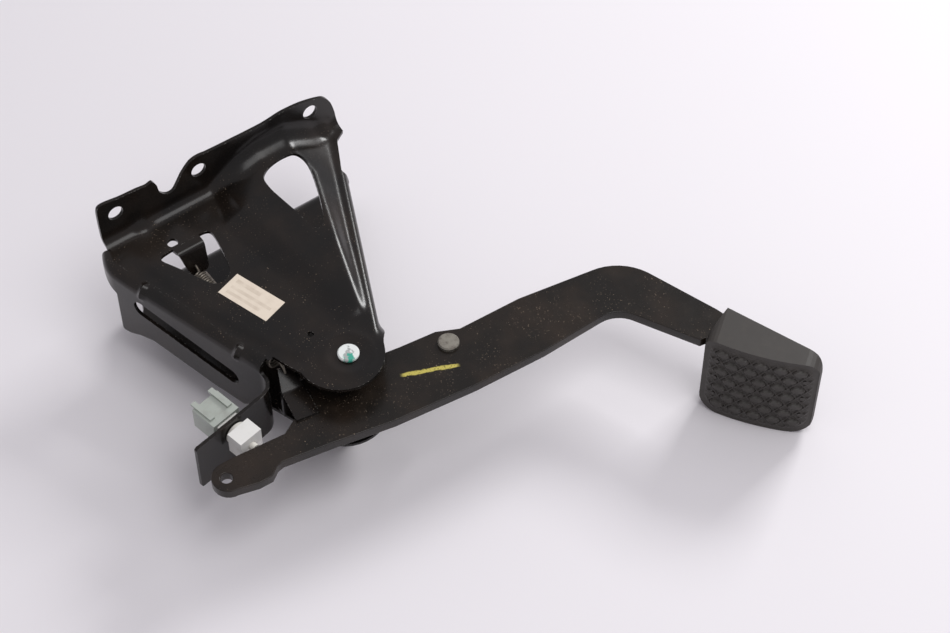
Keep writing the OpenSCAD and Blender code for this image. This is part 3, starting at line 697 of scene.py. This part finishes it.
def spring_flap():
    """Flap of the window: a tapered tongue from parameters (s, w), flat, bent down on a small
    radius and then straight."""
    start, r, turn = 4.5, 4.0, math.radians(76)
    s = np.linspace(-1.5, 31, 28)
    w = np.linspace(-1, 1, 15)
    ss, ww = np.meshgrid(s, w, indexing="ij")
    half = np.interp(ss, [0, 6, 26, 29.5, 31], [11.5, 11, 8, 6.5, 3.0])
    mid = -83 + np.interp(ss, [0, 31], [0, 3.0])
    phi = np.clip((ss - start) / r, 0, turn)
    rest = np.maximum(ss - start - r * turn, 0)
    x = 34.4 + np.minimum(ss, start) + r * np.sin(phi) + rest * math.cos(turn)
    z = TOP - 0.03 - r * (1 - np.cos(phi)) - rest * math.sin(turn)
    p = np.stack([x, mid + half * ww, z], -1).reshape(-1, 3)
    return p, whole_grid(28, 15)


def tube(path, centres, radius, sides=8):
    """Round wire along a path: a ring of points across the path at each step, turned by the direction
    from a local centre, and closed with a point at both ends."""
    t = np.gradient(path, axis=0)
    t /= np.linalg.norm(t, axis=1)[:, None]
    n = path - centres
    n -= (n * t).sum(1)[:, None] * t
    n /= np.linalg.norm(n, axis=1)[:, None]
    b = np.cross(t, n)
    ang = np.linspace(0, 2 * np.pi, sides, endpoint=False)
    rings = path[:, None, :] + radius * (np.cos(ang)[None, :, None] * n[:, None, :]
                                         + np.sin(ang)[None, :, None] * b[:, None, :])
    rings = np.concatenate([np.repeat(path[:1, None, :], sides, 1), rings, np.repeat(path[-1:, None, :], sides, 1)])
    return rings.reshape(-1, 3), whole_grid(len(path) + 2, sides, closed_v=True)


def soft_run(values, width):
    """Moving average along a path, with its ends held."""
    kernel = np.exp(-0.5 * (np.arange(-3 * width, 3 * width + 1) / width) ** 2)
    kernel /= kernel.sum()
    wide = np.pad(values, ((3 * width, 3 * width), (0, 0)), mode="edge")
    return np.stack([np.convolve(wide[:, k], kernel, "valid") for k in range(values.shape[1])], 1)


SPRING_A = np.array([51.6, -83.0, 6.5])
SPRING_B = np.array([154.2, -85.2, 13.0])


def return_spring():
    """Close-wound tension spring: a helix about the line between its ends, and at both ends the wire
    rises to the middle and runs round one hook."""
    along = SPRING_B - SPRING_A
    length = np.linalg.norm(along)
    w = along / length
    v = np.cross(w, [0.0, 0.0, 1.0])
    v /= np.linalg.norm(v)
    u = np.cross(v, w)
    turns, r = 46, 6.5
    th = np.linspace(0, 2 * np.pi * turns, turns * 22)
    coil = np.stack([r * np.cos(th), r * np.sin(th), length * th / th[-1]], 1)
    mid = np.stack([0 * th, 0 * th, coil[:, 2]], 1)
    psi = np.radians(np.linspace(50, -255, 60))
    hook = np.stack([-r * np.cos(psi), 0 * psi, -r + r * np.sin(psi)], 1)
    hook_mid = np.tile([0.0, 0.0, -r], (60, 1))
    hook2 = hook[::-1] * [1, 1, -1] + [0, 0, length]
    hook2_mid = np.tile([0.0, 0.0, length + r], (60, 1))
    path = soft_run(np.vstack([hook, coil, hook2]), 3)
    mid = soft_run(np.vstack([hook_mid, mid, hook2_mid]), 3)
    to = np.stack([u, v, w])
    p, f = tube(SPRING_A + path @ to, SPRING_A + mid @ to, 1.0)
    o = piece("coiled_spring", [(p, f)], None, "spring_steel", 60)
    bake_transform(o)
    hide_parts("return_spring")


def hook_strap():
    """Painted strap on the lever: a flat foot, then a tongue that rises towards the spring and narrows."""
    s = np.linspace(-16.5, 25.5, 43)
    t = np.linspace(-1, 1, 15)
    ss, tt = np.meshgrid(s, t, indexing="ij")
    half = np.interp(ss, [-16.5, -15, 0, 3, 25.5], [3.6, 4.5, 8.3, 8.5, 8.5])
    z = 10.0 + np.maximum(0.8 - ss, 0) * 0.36
    local = np.stack([ss, 8.5 + half * tt], -1).reshape(-1, 2)
    xy = spin(local, -10) + np.array([177.5, -95.7])
    p = np.column_stack([xy, z.reshape(-1)])
    o = piece("hook_strap", [(p, whole_grid(43, 15))], "pedal", "black_paint", 40, 2.0)
    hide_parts("spring_strap")


PAD_AT = np.array([352.0, 193.0])
PAD_DEG = 35.6


def pad_skin():
    """Tread of the pad: a grid over its curved face. Rows of long ovals stand up in a stagger, thin ribs
    cross between them both ways, and the border sinks into the cover."""
    def corner(c, r, a0, a1, n):
        a = np.radians(np.linspace(a0, a1, n + 1))
        return np.stack([c[0] + r * np.cos(a), c[1] + r * np.sin(a)], 1)
    w, top, foot = 39.5, 11.5, -63.5
    outline = np.vstack([corner((-w + 8, top - 8), 8, 180, 90, 8), corner((w - 12, top - 12), 12, 90, 0, 10),
                         corner((w - 18, foot + 18), 18, 0, -90, 12), corner((-w + 16, foot + 16), 16, -90, -180, 10)])
    p, f = cut_grid(np.arange(-42, 42.5, 0.5), np.arange(-66, 14.5, 0.5), outline, [])
    pitch_u, pitch_z = 14, 9.5
    u, z = p.T
    gap, _ = edge_distance(p, outline)
    h = np.zeros(len(p))
    for j in range(8):
        zc = 9 - (j + 0.5) * pitch_z
        shift = (j % 2) / 2
        uc = (np.clip(np.round(u / pitch_u - shift), -3, 3) + shift) * pitch_u
        d = np.hypot(np.maximum(np.abs(u - uc) - 2.6, 0), z - zc)
        edge_c, _ = edge_distance(np.stack([uc, np.full_like(uc, zc)], 1), outline)
        h = np.maximum(h, 2.1 * (1 - ease(d, 1.7, 2.9)) * (edge_c < -4.5))
    for sign in (1, -1):
        across = u + sign * (z - 4.25) * pitch_u / 2 / pitch_z
        t = np.abs((across / pitch_u + 0.25) % 0.5 - 0.25) * pitch_u * 0.8
        h = np.maximum(h, 1 - ease(t, 0.35, 0.9))
    h = h * ease(-gap, 1.5, 4.0)
    face_r = 190.0
    face = np.sqrt(face_r**2 - u**2) - face_r + 3
    out = face + 0.15 - 0.9 * (1 - ease(-gap, 0, 1.6)) + h
    c, s = math.cos(math.radians(PAD_DEG)), math.sin(math.radians(PAD_DEG))
    xyz = np.stack([PAD_AT[0] + u * c + out * s, PAD_AT[1] + u * s - out * c, z], 1)
    piece("pad_tread", [(xyz, f)], "pedal", "pad_rubber", 35)


def rounded(node, name, body, slot, radius):
    """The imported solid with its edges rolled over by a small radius: a merged copy with a bevel."""
    mesh = nodes[node].data.copy()
    bm = bmesh.new()
    bm.from_mesh(mesh)
    bmesh.ops.remove_doubles(bm, verts=bm.verts, dist=1e-6)
    bmesh.ops.dissolve_limit(bm, angle_limit=math.radians(1.0), verts=bm.verts, edges=bm.edges)
    bm.to_mesh(mesh)
    bm.free()
    mesh.name = name
    o = bpy.data.objects.new(name, mesh)
    scene.collection.objects.link(o)
    mesh.materials.clear()
    mesh.materials.append(skins[slot])
    mesh.polygons.foreach_set("use_smooth", np.ones(len(mesh.polygons), bool))
    m = o.modifiers.new("rolled", "BEVEL")
    m.width = radius * MM
    m.segments = 2
    m.limit_method = "ANGLE"
    m.angle_limit = math.radians(38)
    even = o.modifiers.new("flat_faces", "WEIGHTED_NORMAL")
    even.weight = 100
    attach(o, body)
    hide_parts(node)


photo_camera()
studio()
skins = finishes()
for part in frame["record"]["subparts"]:
    o = nodes[part["node"]]
    o.data.materials.clear()
    o.data.materials.append(skins[part["material_slot"]])

upper_bracket()
return_spring()
hook_strap()
pad_skin()
rounded("pedal_lever", "painted_lever", "pedal", "lever_paint", 0.7)
rounded("lower_bracket", "lower_sheet", "bracket", "black_paint", 0.4)
rounded("switch_body", "switch_case", "bracket", "white_plastic", 0.5)
rounded("switch_sleeve", "switch_collar", "bracket", "pale_plastic", 0.4)
rounded("connector_housing", "plug_shell", "bracket", "grey_plastic", 0.6)
